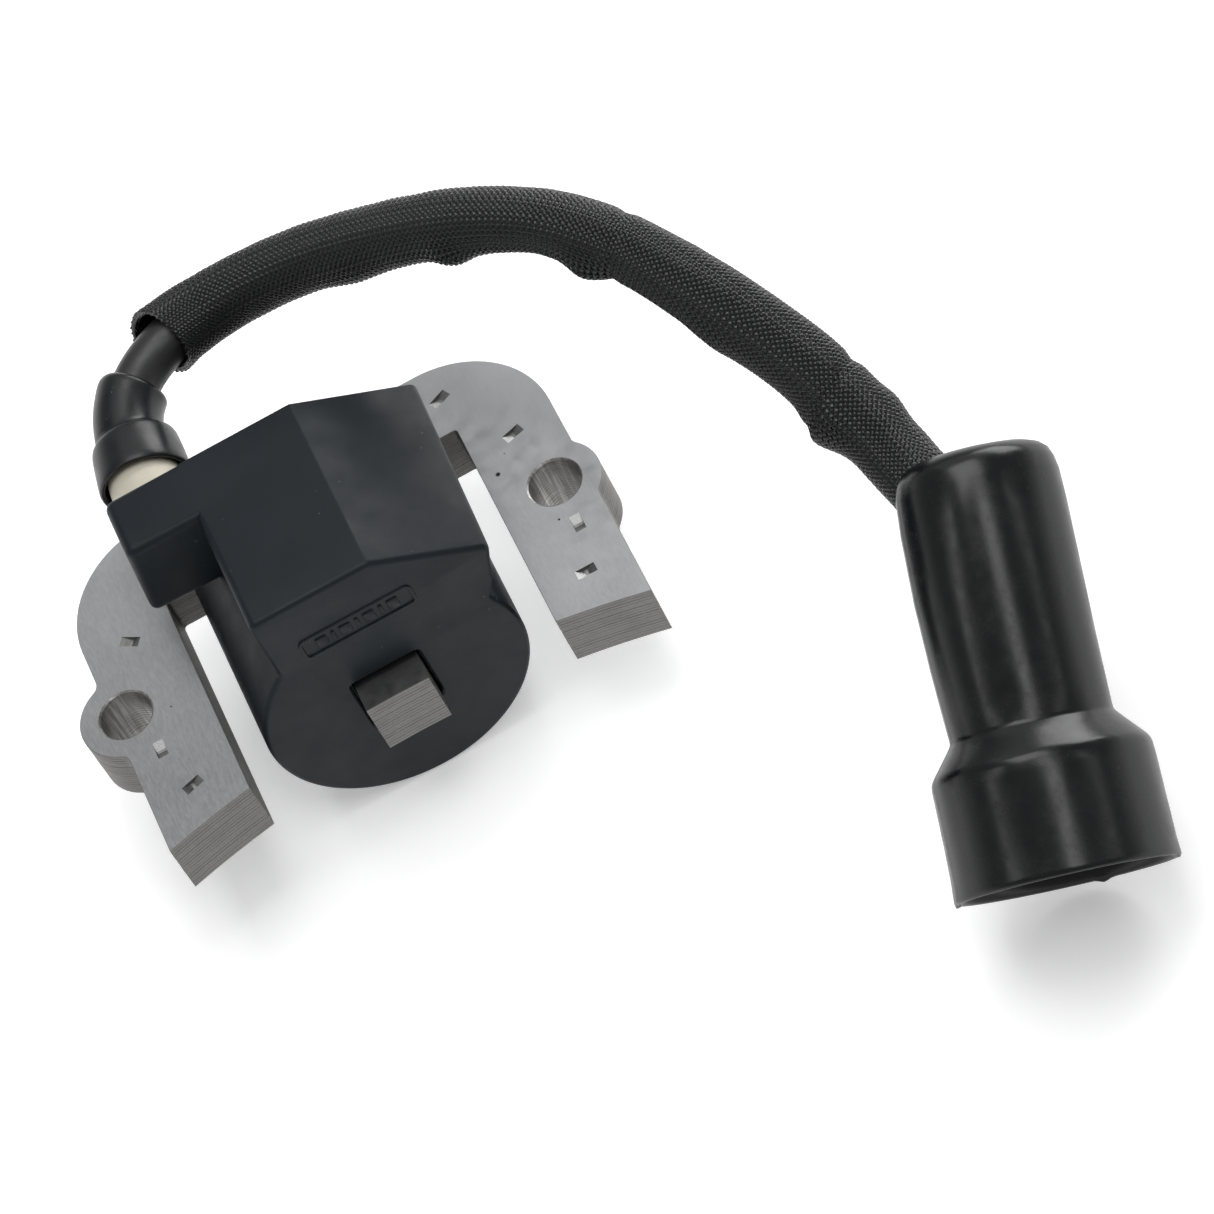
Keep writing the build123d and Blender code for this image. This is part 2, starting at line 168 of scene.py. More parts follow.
class Line:
    """A smooth line with a frame that turns as little as it can, read by distance along it."""

    def __init__(self, points, first_normal):
        self.points = points
        self.distances = [0.0]
        for before, after in zip(points, points[1:]):
            self.distances.append(self.distances[-1] + (after - before).length)
        self.tangents = []
        last = len(points) - 1
        for index in range(len(points)):
            ahead = points[min(index + 1, last)]
            behind = points[max(index - 1, 0)]
            self.tangents.append((ahead - behind).normalized())
        self.normals = []
        normal = first_normal
        for tangent in self.tangents:
            normal = (normal - tangent * normal.dot(tangent)).normalized()
            self.normals.append(normal)
        self.length = self.distances[-1]
        self.cursor = 0

    def at(self, distance):
        """Place, tangent and normal at a distance along the line."""
        distance = min(max(distance, 0.0), self.length)
        low = self.cursor
        if self.distances[low] > distance:
            low = 0
        while low < len(self.distances) - 2 and self.distances[low + 1] < distance:
            low += 1
        self.cursor = low
        span = self.distances[low + 1] - self.distances[low]
        share = (distance - self.distances[low]) / span
        place = self.points[low].lerp(self.points[low + 1], share)
        tangent = self.tangents[low].lerp(self.tangents[low + 1], share).normalized()
        normal = self.normals[low].lerp(self.normals[low + 1], share)
        normal = (normal - tangent * normal.dot(tangent)).normalized()
        return place, tangent, normal

    def nearest(self, place):
        gaps = [(point - place).length for point in self.points]
        return self.distances[gaps.index(min(gaps))]


lead_line = Line(spline_points(LEAD_ROUTE, 40), UP)

lead = curve_object("lead", LEAD_ROUTE, LEAD_RADIUS)
conductor = curve_object("conductor", LEAD_ROUTE, CONDUCTOR_RADIUS)

# ---- mesh helpers


def mesh_object(name, vertices, faces, smooth_angle=35.0, skins=None):
    """A piece from points in millimetres; skins gives each face's material index."""
    mesh = bpy.data.meshes.new(name)
    mesh.from_pydata([Vector(vertex) * MM for vertex in vertices], [], faces)
    if skins:
        mesh.polygons.foreach_set("material_index", skins)
    shape = bmesh.new()
    shape.from_mesh(mesh)
    bmesh.ops.recalc_face_normals(shape, faces=shape.faces)
    shape.to_mesh(mesh)
    shape.free()
    smooth(mesh, smooth_angle)
    made = bpy.data.objects.new(name, mesh)
    scene.collection.objects.link(made)
    return made


def smooth(mesh, angle):
    mesh.shade_smooth()
    mesh.set_sharp_from_angle(angle=math.radians(angle))


def ring_faces(first, second, count):
    """Quads between two closed rings whose points start at the given indices."""
    return [(first + k, first + (k + 1) % count, second + (k + 1) % count, second + k)
            for k in range(count)]


def skin(rings):
    """The rings' points, and the quads between each ring and the next."""
    count = len(rings[0])
    vertices = [point for ring in rings for point in ring]
    faces = []
    for index in range(len(rings) - 1):
        faces += ring_faces(index * count, (index + 1) * count, count)
    return vertices, faces


def tube_mesh(rings, loop=False):
    """A skin whose ends are capped, or joined to each other in a loop."""
    vertices, faces = skin(rings)
    count = len(rings[0])
    last = len(vertices) - count
    if loop:
        faces += ring_faces(last, 0, count)
    else:
        faces.append(tuple(reversed(range(count))))
        faces.append(tuple(range(last, last + count)))
    return vertices, faces


def append_mesh(vertices, faces, more, added):
    """Adds the points and faces of one mesh to another's."""
    faces += [tuple(k + len(vertices) for k in face) for face in added]
    vertices += more


def fill(vertices, loops, axes):
    """Triangles between an outline and its holes, which are loops of the mesh's own vertices.

    Each loop is its first index and its count; axes are the two that span the plane.
    """
    spans = [range(first, first + count) for first, count in loops]
    flat = [[Vector((vertices[k][axes[0]], vertices[k][axes[1]], 0.0)) for k in span]
            for span in spans]
    index_of = [k for span in spans for k in span]
    return [tuple(index_of[k] for k in triangle) for triangle in tessellate_polygon(flat)]


def circle_ring(centre, axis, radius, count):
    side = axis.cross(UP).normalized()
    other = side.cross(axis).normalized()
    return [centre + (side * math.cos(angle) + other * math.sin(angle)) * radius
            for angle in (2 * math.pi * k / count for k in range(count))]


def arc(centre, radius, start, end, steps):
    """Points on an arc in a plane, both ends included, angles in degrees."""
    angles = [math.radians(start + (end - start) * k / steps) for k in range(steps + 1)]
    return [(centre[0] + radius * math.cos(a), centre[1] + radius * math.sin(a)) for a in angles]


def round_corner(before, corner, after, radius, steps=5):
    """The fillet of one corner of a polygon."""
    before, corner, after = Vector(before), Vector(corner), Vector(after)
    arriving = (corner - before).normalized()
    leaving = (after - corner).normalized()
    turn = arriving.angle_signed(leaving)
    setback = abs(radius * math.tan(turn / 2))
    start = corner - arriving * setback
    side = Vector((arriving.y, -arriving.x)) if turn > 0 else Vector((-arriving.y, arriving.x))
    centre = start + side * radius
    points = []
    for step in range(steps + 1):
        spoke = start - centre
        spoke.rotate(Matrix.Rotation(-turn * step / steps, 2))
        points.append(tuple(centre + spoke))
    return points


def rounded_rectangle(centre, size, radius, steps=5):
    """Anticlockwise outline of a rectangle with rounded corners."""
    half_x, half_y = size[0] / 2 - radius, size[1] / 2 - radius
    points = []
    for start, sx, sy in ((0, 1, 1), (90, -1, 1), (180, -1, -1), (270, 1, -1)):
        points += arc((centre[0] + sx * half_x, centre[1] + sy * half_y), radius,
                      start, start + 90, steps)
    return points


def inset_outline(points, amount):
    """Moves a closed anticlockwise outline inward by a small amount."""
    moved = []
    count = len(points)
    for index in range(count):
        x, y = points[index]
        x0, y0 = points[index - 1]
        x1, y1 = points[(index + 1) % count]
        first = Vector((y0 - y, x - x0))
        second = Vector((y - y1, x1 - x))
        if first.length < 1e-6 or second.length < 1e-6:
            first = second = first if first.length > second.length else second
        inward = first.normalized() + second.normalized()
        scale = amount / max(0.35, inward.length / 2) if inward.length else 0.0
        inward = inward.normalized() * scale
        moved.append((x + inward.x, y + inward.y))
    return moved


# ---- material helpers


def rgba(tone):
    """A shader's colour from a grey value or from red, green and blue."""
    red, green, blue = tone if isinstance(tone, tuple) else (tone, tone, tone)
    return (red, green, blue, 1.0)


class Look:
    """A Principled material with short calls for its noise, colour and bump nodes."""

    def __init__(self, name, roughness, metallic=0.0, specular=0.5):
        self.name = name
        self.material = bpy.data.materials.new(name)
        self.material.use_nodes = True
        self.tree = self.material.node_tree
        self.sockets = self.tree.nodes["Principled BSDF"].inputs
        self.sockets["Roughness"].default_value = roughness
        self.sockets["Metallic"].default_value = metallic
        self.sockets["Specular IOR Level"].default_value = specular
        self.place = self.tree.nodes.new("ShaderNodeTexCoord").outputs["Object"]
        self.normal = None

    def node(self, kind, **values):
        made = self.tree.nodes.new(kind)
        for key, value in values.items():
            setattr(made, key, value)
        return made

    def link(self, source, target):
        self.tree.links.new(source, target)

    def noise(self, size, detail=3.0, roughness=0.55, stretch=None, turn=0.0):
        """Noise whose blotches are about size millimetres across; turn is about z."""
        made = self.node("ShaderNodeTexNoise")
        made.inputs["Scale"].default_value = 1.0 / (size * MM)
        made.inputs["Detail"].default_value = detail
        made.inputs["Roughness"].default_value = roughness
        source = self.place
        if stretch:
            mapping = self.node("ShaderNodeMapping")
            mapping.inputs["Scale"].default_value = stretch
            mapping.inputs["Rotation"].default_value = (0.0, 0.0, turn)
            self.link(self.place, mapping.inputs["Vector"])
            source = mapping.outputs["Vector"]
        self.link(source, made.inputs["Vector"])
        return made.outputs["Fac"]

    def cells(self, size):
        made = self.node("ShaderNodeTexVoronoi")
        made.inputs["Scale"].default_value = 1.0 / (size * MM)
        self.link(self.place, made.inputs["Vector"])
        return made.outputs["Distance"]

    def ramp(self, source, *stops):
        """Maps a value through (position, tone) stops."""
        made = self.node("ShaderNodeValToRGB")
        elements = made.color_ramp.elements
        while len(elements) < len(stops):
            elements.new(0.5)
        for element, (position, tone) in zip(elements, stops):
            element.position = position
            element.color = rgba(tone)
        self.link(source, made.inputs["Fac"])
        return made.outputs["Color"]

    def mix(self, share, first, second, blend="MIX"):
        """Two tones, each a socket or a fixed one."""
        made = self.node("ShaderNodeMix", data_type="RGBA", blend_type=blend)
        if isinstance(share, float):
            made.inputs[0].default_value = share
        else:
            self.link(share, made.inputs[0])
        for tone, socket in ((first, made.inputs[6]), (second, made.inputs[7])):
            if isinstance(tone, (float, tuple)):
                socket.default_value = rgba(tone)
            else:
                self.link(tone, socket)
        return made.outputs[2]

    def math(self, operation, first, second=0.0):
        made = self.node("ShaderNodeMath", operation=operation)
        for value, socket in ((first, made.inputs[0]), (second, made.inputs[1])):
            if isinstance(value, float):
                socket.default_value = value
            else:
                self.link(value, socket)
        return made.outputs["Value"]

    def gap(self, operation="LENGTH", point=(0.0, 0.0, 0.0)):
        """Distance from the origin, or with DISTANCE from a point, in metres."""
        made = self.node("ShaderNodeVectorMath", operation=operation)
        self.link(self.place, made.inputs[0])
        made.inputs[1].default_value = point
        return made.outputs["Value"]

    def axis(self, name):
        made = self.node("ShaderNodeSeparateXYZ")
        self.link(self.place, made.inputs["Vector"])
        return made.outputs[name]

    def colour(self, source):
        self.link(source, self.sockets["Base Color"])

    def rough(self, source):
        self.link(source, self.sockets["Roughness"])

    def bump(self, source, depth):
        """Adds a relief of about depth millimetres."""
        made = self.node("ShaderNodeBump")
        made.inputs["Strength"].default_value = 1.0
        made.inputs["Distance"].default_value = depth * MM
        self.link(source, made.inputs["Height"])
        if self.normal:
            self.link(self.normal, made.inputs["Normal"])
        self.normal = made.outputs["Normal"]
        self.link(self.normal, self.sockets["Normal"])


def speckled(name, dark, light, roughness, blotch, grain, relief, metallic=0.0, specks=None,
             specular=0.5):
    """Two tones in soft blotches, with a fine grain in colour, gloss and relief.

    Blotch and grain are sizes; specks are their spacing, their tone and their share of it.
    """
    look = Look(name, roughness, metallic, specular)
    tone = look.mix(look.ramp(look.noise(blotch, 4.0), (0.35, 0.0), (0.68, 1.0)), dark, light)
    fine = look.noise(grain, 2.0)
    tone = look.mix(0.25, tone, look.ramp(fine, (0.3, dark), (0.7, light)))
    if specks:
        size, speck_tone, reach = specks
        spots = look.ramp(look.cells(size), (0.0, 1.0), (reach, 0.0))
        rare = look.ramp(look.noise(size * 3.1, 1.0), (0.58, 0.0), (0.66, 1.0))
        tone = look.mix(look.math("MULTIPLY", spots, rare), tone, speck_tone)
    look.colour(tone)
    look.rough(look.ramp(look.noise(blotch * 0.4, 4.0), (0.3, roughness - 0.07),
                         (0.7, roughness + 0.08)))
    look.bump(fine, relief)
    return look


# ---- materials

# Small dark pits on the stack's top: x, y, radius
STEEL_DOTS = [(24.4, 5.4, 0.38), (28.5, -5.6, 0.20), (26.3, 7.9, 0.12), (-24.6, -2.3, 0.14)]


def steel_face_look():
    """Top and underside of the stack."""
    look = Look("steel_face", 0.42, 0.9)
    base = look.mix(look.ramp(look.noise(9.0, 4.0), (0.3, 0.0), (0.7, 1.0)),
                    (0.30, 0.305, 0.31), (0.345, 0.35, 0.355))
    # Painted light and shade: the sheet is painted duller towards the front left and brighter towards
    # the back right, copying how the light falls on it.
    across = look.math("ADD", look.axis("X"), look.math("MULTIPLY", look.axis("Y"), 1.3))
    painted_light_gradient = look.ramp(look.math("ADD", look.math("MULTIPLY", across, 10.0), 0.5),
                      (0.0, 0.70), (1.0, 1.26))
    base = look.mix(1.0, base, painted_light_gradient, "MULTIPLY")
    rolled = look.noise(0.25, 4.0, 0.6, stretch=(1.0, 0.2, 1.0), turn=0.12)
    base = look.mix(look.ramp(rolled, (0.35, 0.0), (0.7, 0.3)), base, (0.46, 0.46, 0.47))
    stain = look.ramp(look.noise(3.0, 5.0), (0.6, 0.0), (0.78, 0.3))
    base = look.mix(stain, base, (0.30, 0.29, 0.28))
    for x, y, radius in STEEL_DOTS:
        gap = look.gap("DISTANCE", (x * MM, y * MM, STACK_HEIGHT * MM))
        dot = look.ramp(look.math("DIVIDE", gap, radius * MM), (0.6, 1.0), (1.0, 0.0))
        base = look.mix(dot, base, 0.02)
    # Painted shade: the top of the centre leg's nose, in front of the housing, is painted dark in
    # patches, standing in for the shade that falls there.
    beside = look.ramp(look.math("ABSOLUTE", look.math("SUBTRACT", look.axis("X"), CORE_X * MM)),
                       (0.0050, 1.0), (0.0056, 0.0))
    ahead = look.ramp(look.math("MULTIPLY", look.axis("Y"), -1.0), (0.0105, 0.0), (0.0115, 1.0))
    nose_painted_shade = look.math("MULTIPLY", beside, ahead)
    patchy = look.ramp(look.noise(1.0, 4.0, 0.6), (0.35, 0.97), (0.7, 0.78))
    look.colour(look.mix(look.math("MULTIPLY", nose_painted_shade, patchy), base, (0.15, 0.15, 0.152)))
    look.rough(look.ramp(look.noise(2.2, 4.0), (0.3, 0.36), (0.7, 0.52)))
    look.bump(rolled, 0.002)
    look.bump(look.noise(0.12, 2.0), 0.002)
    return look


def steel_edge_look():
    """Outer edges of the plates, with the pole faces."""
    look = Look("steel_edge", 0.5, 0.75)
    sheared = look.noise(0.16, 4.0, 0.6, stretch=(1.0, 1.0, 0.3))
    base = look.mix(look.ramp(sheared, (0.25, 0.0), (0.75, 1.0)),
                    (0.165, 0.162, 0.154), (0.235, 0.230, 0.220))
    look.colour(look.mix(look.ramp(look.noise(4.0, 4.0), (0.45, 0.0), (0.75, 0.4)), base,
                         (0.13, 0.125, 0.115)))
    look.rough(look.ramp(sheared, (0.3, 0.48), (0.7, 0.56)))
    look.bump(sheared, 0.004)
    return look


def steel_bright_look():
    """Ramps and floors of the staking dimples."""
    look = Look("steel_bright", 0.3, 1.0)
    drawn = look.noise(0.15, 3.0)
    look.colour(look.ramp(drawn, (0.3, 0.20), (0.7, (0.34, 0.34, 0.335))))
    look.rough(look.ramp(drawn, (0.3, 0.36), (0.7, 0.48)))
    look.bump(drawn, 0.012)
    return look


def steel_bore_look():
    """Inside of the mounting holes, with bright streaks down the wall."""
    look = Look("steel_bore", 0.4, 0.9)
    streaks = look.noise(0.45, 4.0, 0.6, stretch=(1.0, 1.0, 0.06))
    look.colour(look.ramp(streaks, (0.3, (0.20, 0.19, 0.175)), (0.5, (0.31, 0.302, 0.29)),
                          (0.7, (0.50, 0.492, 0.475))))
    look.rough(look.ramp(streaks, (0.3, 0.48), (0.7, 0.34)))
    look.bump(streaks, 0.012)
    return look


def housing_look():
    look = speckled("housing", (0.0045, 0.0080, 0.0115), (0.0070, 0.0110, 0.0150), 0.45,
                    12.0, 0.16, 0.008, specks=(1.6, 0.12, 0.09), specular=0.23)
    look.bump(look.noise(2.4, 3.0), 0.008)
    look.bump(look.noise(9.0, 2.0), 0.03)
    return look


def boot_look():
    look = speckled("boot_rubber", (0.0022, 0.0026, 0.0032), (0.0040, 0.0044, 0.0052), 0.2,
                    7.0, 0.2, 0.002, specks=(1.1, (0.16, 0.15, 0.14), 0.07), specular=0.38)
    look.bump(look.noise(2.2, 3.0, 0.5, stretch=(1.0, 0.22, 0.45)), 0.008)
    look.rough(look.ramp(look.noise(2.6, 5.0, 0.65), (0.32, 0.19), (0.7, 0.31)))
    # Less gloss where it is seen edge on, so that its sides stay dark as in the photograph.
    facing = look.node("ShaderNodeLayerWeight").outputs["Facing"]
    look.link(look.ramp(facing, (0.35, 0.40), (0.85, 0.08)), look.sockets["Specular IOR Level"])
    return look


def potting_look():
    look = speckled("potting_resin", 0.010, (0.018, 0.017, 0.016), 0.16, 6.0, 0.6, 0.004,
                    specks=(0.9, 0.05, 0.12))
    look.bump(look.noise(5.0, 2.0), 0.25)
    return look


def braid_look(name, dark, light):
    look = Look(name, 0.3, specular=0.42)
    tone = look.ramp(look.noise(0.5, 3.0), (0.3, dark), (0.7, light))
    dust = look.ramp(look.noise(6.0, 4.0), (0.55, 0.0), (0.8, 0.3))
    look.colour(look.mix(dust, tone, (0.018, 0.018, 0.020)))
    look.rough(look.ramp(look.noise(0.7, 2.0), (0.3, 0.20), (0.7, 0.34)))
    look.bump(look.noise(0.11, 2.0), 0.008)
    return look


def floor_look():
    look = Look("floor", 0.8)
    look.sockets["Emission Color"].default_value = rgba(1.0)
    look.colour(look.ramp(look.noise(60.0, 2.0), (0.3, (0.93, 0.93, 0.935)), (0.7, 0.95)))
    # The floor stays pale where the lights no longer reach it.
    look.link(look.ramp(look.gap(), (0.25, 0.32), (1.0, 0.68)), look.sockets["Emission Strength"])
    return look


# The arguments of speckled for the materials that need nothing more
PLAIN_LOOKS = [
    ("cap_rubber", (0.0035, 0.004, 0.005), (0.007, 0.0075, 0.009), 0.33, 5.0, 0.18, 0.006, 0.0,
     (1.4, 0.2, 0.08), 0.4),
    ("lead_rubber", (0.010, 0.010, 0.011), (0.018, 0.018, 0.019), 0.42, 4.0, 0.15, 0.006),
    ("tower_cream", (0.52, 0.49, 0.40), (0.60, 0.57, 0.48), 0.42, 4.0, 0.25, 0.01, 0.0,
     (1.2, (0.2, 0.18, 0.13), 0.06)),
    ("bobbin_plastic", (0.020, 0.019, 0.018), (0.032, 0.030, 0.028), 0.5, 5.0, 0.2, 0.012),
    ("copper_wire", (0.55, 0.20, 0.08), (0.72, 0.31, 0.13), 0.3, 1.5, 0.2, 0.01, 0.9),
    ("board_laminate", (0.02, 0.09, 0.03), (0.03, 0.13, 0.05), 0.4, 3.0, 0.15, 0.006),
    ("component_black", 0.015, 0.03, 0.45, 2.0, 0.12, 0.01),
    ("capacitor_film", (0.45, 0.16, 0.03), (0.55, 0.22, 0.05), 0.35, 2.5, 0.2, 0.008),
    ("resistor_body", (0.42, 0.31, 0.17), (0.5, 0.38, 0.22), 0.4, 1.0, 0.15, 0.006),
    ("contact_brass", (0.60, 0.44, 0.19), (0.74, 0.57, 0.28), 0.3, 2.0, 0.12, 0.004, 1.0),
    ("spring_steel", (0.35, 0.34, 0.33), (0.52, 0.51, 0.50), 0.28, 1.2, 0.1, 0.003, 1.0),
]
# Painted light: the yarns that run one way round (braid_right) are painted lighter than those that
# run the other way (braid_left), standing in for the way the light catches each set.
BRAID_LOOKS = [
    ("braid_right", (0.0028, 0.003, 0.0036), (0.0065, 0.007, 0.008)),
    ("braid_left", (0.0022, 0.0024, 0.003), (0.0045, 0.005, 0.006)),
    ("braid_under", 0.003, 0.006),
]
all_looks = [steel_face_look(), steel_edge_look(), steel_bright_look(), steel_bore_look(),
             housing_look(), boot_look(), potting_look()]
all_looks += [speckled(*row) for row in PLAIN_LOOKS]
all_looks += [braid_look(*row) for row in BRAID_LOOKS]
LOOKS = {look.name: look.material for look in all_looks}


def place(piece, slot, replaced=(), looks=None):
    """Dresses the piece, rides it on the one body and hides the CAD parts that it stands for."""
    for look in looks or [slot]:
        piece.data.materials.append(LOOKS[look])
    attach(piece, "root")
    if replaced:
        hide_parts(*replaced)
    return piece


# The CAD parts that are shown as they are, by their look
NODE_LOOKS = {
    "potting_resin": ["potting_compound"],
    "bobbin_plastic": ["secondary_bobbin"],
    "copper_wire": ["primary_winding", "primary_wire_start", "primary_wire_end",
                    "high_voltage_wire", *(f"secondary_section_{k}" for k in range(1, 6))],
    "board_laminate": ["circuit_board"],
    "component_black": ["power_transistor", "control_chip", "rectifier_diode", "clamp_diode"],
    "capacitor_film": ["capacitor"],
    "resistor_body": ["resistor_1", "resistor_2"],
    "contact_brass": ["ground_strip", "high_voltage_terminal"],
    "spring_steel": ["terminal_spring", "lead_spike"],
}
for look_name, node_names in NODE_LOOKS.items():
    for node_name in node_names:
        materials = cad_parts[node_name].data.materials
        materials.clear()
        materials.append(LOOKS[look_name])

# ---- lamination stack

LUG_FILLET = 1.5
SLOT_CORNER = 0.5


def pole_edge(start, end, steps):
    """Pole face on the flywheel's arc, from one x to another, from the coil's centre line."""
    points = []
    for step in range(steps + 1):
        x = start + (end - start) * step / steps
        points.append((x, FLYWHEEL_Y + math.sqrt(FLYWHEEL_RADIUS ** 2 - x ** 2)))
    return points


def leg_side(lug_x):
    """Outer edge of a right-hand leg past its lug, from front to back."""
    reach = LEG_OUTER + LUG_FILLET
    beside = reach - lug_x
    along = math.sqrt((LUG_RADIUS + LUG_FILLET) ** 2 - beside ** 2)
    toward_lug = math.degrees(math.atan2(along, -beside))
    spread = math.degrees(math.atan2(along, beside))
    lower = arc((reach, -along), LUG_FILLET, 180, toward_lug, 5)
    nose = arc((lug_x, 0), LUG_RADIUS, -spread, spread, 20)
    upper = [(x, -y) for x, y in reversed(lower)]
    return lower + nose[1:-1] + upper


def slot_corners(start, end):
    """The two inner corners of the slot between one leg's side and the next."""
    path = [(start, FRONT_Y), (start, YOKE_INNER), (end, YOKE_INNER), (end, FRONT_Y)]
    return round_corner(*path[:3], SLOT_CORNER) + round_corner(*path[1:], SLOT_CORNER)


def lamination_outline():
    """Anticlockwise outline of one lamination."""
    corner = (LEG_OUTER - YOKE_CORNER, YOKE_BACK - YOKE_CORNER)
    outline = pole_edge(LEG_INNER, LEG_OUTER, 4)
    outline += leg_side(HOLE_X - CORE_X)
    outline += arc(corner, YOKE_CORNER, 0, 90, 18)
    outline += arc((-corner[0], corner[1]), YOKE_CORNER, 90, 180, 18)
    outline += [(-x, y) for x, y in reversed(leg_side(HOLE_X + CORE_X))]
    outline += pole_edge(-LEG_OUTER, -LEG_INNER, 4) + slot_corners(-LEG_INNER, -CENTRE_LEG)
    outline += pole_edge(-CENTRE_LEG, CENTRE_LEG, 2) + slot_corners(CENTRE_LEG, LEG_INNER)
    return [(x + CORE_X, y) for x, y in outline]


# Staking dimples: x and y from the centre line, direction of the long side in degrees
DIMPLES = [
    (21.05, 20.8, 25), (27.2, 10.1, 17), (29.15, -7.4, 90), (27.3, -14.75, 0),
    (-21.05, 20.8, -25), (-27.2, 10.1, -34), (-29.15, -7.4, 90), (-27.3, -14.75, 17),
]
DIMPLE_SIZE = (2.6, 1.4)
DIMPLE_DEPTH = 0.5
DIMPLE_RAMP = 1.1


def turned(points, centre, degrees):
    cosine, sine = math.cos(math.radians(degrees)), math.sin(math.radians(degrees))
    return [(centre[0] + x * cosine - y * sine, centre[1] + x * sine + y * cosine)
            for x, y in points]


def stack_mesh():
    """Plates with a fine groove between each two, chamfered holes, and the dimples."""
    vertices, faces, skins = [], [], []
    top_face, edge, bright, bore = range(4)
    shuffle = random.Random(11)
    plate = STACK_HEIGHT / PLATE_COUNT
    bite, groove = 0.06, 0.045

    def add(added, *used):
        faces.extend(added)
        skins.extend(used if len(used) > 1 else used * len(added))

    def wall(loop, inward, chamfer, used):
        """Side of all plates along one loop; returns where its lowest and highest rings are."""
        rings = []
        for index in range(PLATE_COUNT):
            shift = (shuffle.uniform(-0.012, 0.012), shuffle.uniform(-0.012, 0.012))
            grow = shuffle.uniform(-0.006, 0.006)
            low, high = index * plate, (index + 1) * plate
            levels = [(low, groove if index else chamfer), (low + bite, 0.0), (high - bite, 0.0)]
            if index == PLATE_COUNT - 1:
                levels[-1:] = [(high - chamfer * 0.8, 0.0), (high, chamfer)]
            for level, depth in levels:
                ring = inset_outline(loop, inward * (depth + grow))
                rings.append([(x + shift[0], y + shift[1], level) for x, y in ring])
        first, count = len(vertices), len(loop)
        vertices.extend(point for ring in rings for point in ring)
        for index in range(len(rings) - 1):
            add(ring_faces(first + index * count, first + (index + 1) * count, count), used)
        return (first, count), (first + (len(rings) - 1) * count, count)

    walls = [wall(lamination_outline(), 1.0, 0.07, edge)]
    for side in (-1, 1):
        hole = arc((side * HOLE_X, 0), HOLE_RADIUS, 0, 352.5, 47)
        walls.append(wall(hole, -1.0, 0.22, bore))

    pockets = []
    for x, y, direction in DIMPLES:
        first = len(vertices)
        half_x, half_y = DIMPLE_SIZE[0] / 2, DIMPLE_SIZE[1] / 2
        for reach_x, reach_y, depth in ((half_x, half_y, 0.0),
                                        (half_x - DIMPLE_RAMP, half_y - 0.06, DIMPLE_DEPTH)):
            corners = turned([(-reach_x, -reach_y), (reach_x, -reach_y), (reach_x, reach_y),
                              (-reach_x, reach_y)], (CORE_X + x, y), direction)
            vertices.extend((px, py, STACK_HEIGHT - depth) for px, py in corners)
        add(ring_faces(first, first + 4, 4) + [tuple(range(first + 4, first + 8))],
            edge, bright, edge, bright, bright)
        pockets.append((first, 4))

    add(fill(vertices, [low for low, high in walls], (0, 1)), top_face)
    add(fill(vertices, [high for low, high in walls] + pockets, (0, 1)), top_face)
    made = mesh_object("lamination_stack_visual", vertices, faces, 20.0, skins)
    for polygon in made.data.polygons:
        polygon.use_smooth = polygon.material_index in (edge, bore)
    return made


place(stack_mesh(), "laminated_steel", ["lamination_stack"],
      ["steel_face", "steel_edge", "steel_bright", "steel_bore"])

# ---- coil housing

SHOULDER_DRAFT = 0.042
WINDOW_SIZE = (9.5, 10.1)
WINDOW_CORNER = 0.6


def housing_section(inset, y):
    """Outline of the housing across the axis at one y, as (x, z) points, anticlockwise."""
    draft = SHOULDER_DRAFT * y if inset < 1.0 else 0.0
    corners = [(16.9, 12.0), (18.4, 15.0), (19.3 + draft / 2, 17.5), (20.5 + draft, 20.6),
               (6.2, BLOCK_TOP), (BLOCK_LEFT, BLOCK_TOP), (BLOCK_LEFT, 10.0)]
    radii = [None, 0.8, 0.8, 1.15, 0.75, 1.1, None]
    moved = offset_open(corners, inset)
    circle = BODY_RADIUS - inset
    fillet = 1.5 + inset
    centre_x = BLOCK_LEFT - 1.5
    rise = math.sqrt((BODY_RADIUS + 1.5) ** 2 - (CORE_X - centre_x) ** 2)
    fillet_centre = (centre_x, AXIS_Z + rise)
    down = math.degrees(math.atan2(-rise, CORE_X - centre_x))
    outline = []
    for index in range(1, 6):
        radius = max(0.15, radii[index] - inset)
        outline += round_corner(moved[index - 1], moved[index], moved[index + 1], radius, 6)
    outline += arc(fillet_centre, fillet, 0, down, 6)
    outline += arc((CORE_X, AXIS_Z), circle, 180 + down, 386.1, 84)[1:]
    return outline


def offset_open(corners, amount):
    """Moves an open polyline to its left by an amount, corners kept sharp."""
    moved = []
    for index, corner in enumerate(corners):
        corner = Vector(corner)
        normals = []
        if index:
            step = corner - Vector(corners[index - 1])
            normals.append(Vector((-step.y, step.x)).normalized())
        if index < len(corners) - 1:
            step = Vector(corners[index + 1]) - corner
            normals.append(Vector((-step.y, step.x)).normalized())
        if len(normals) == 1:
            moved.append(tuple(corner + normals[0] * amount))
        else:
            total = normals[0] + normals[1]
            moved.append(tuple(corner + total * (amount * 2 / total.length_squared)))
    return moved


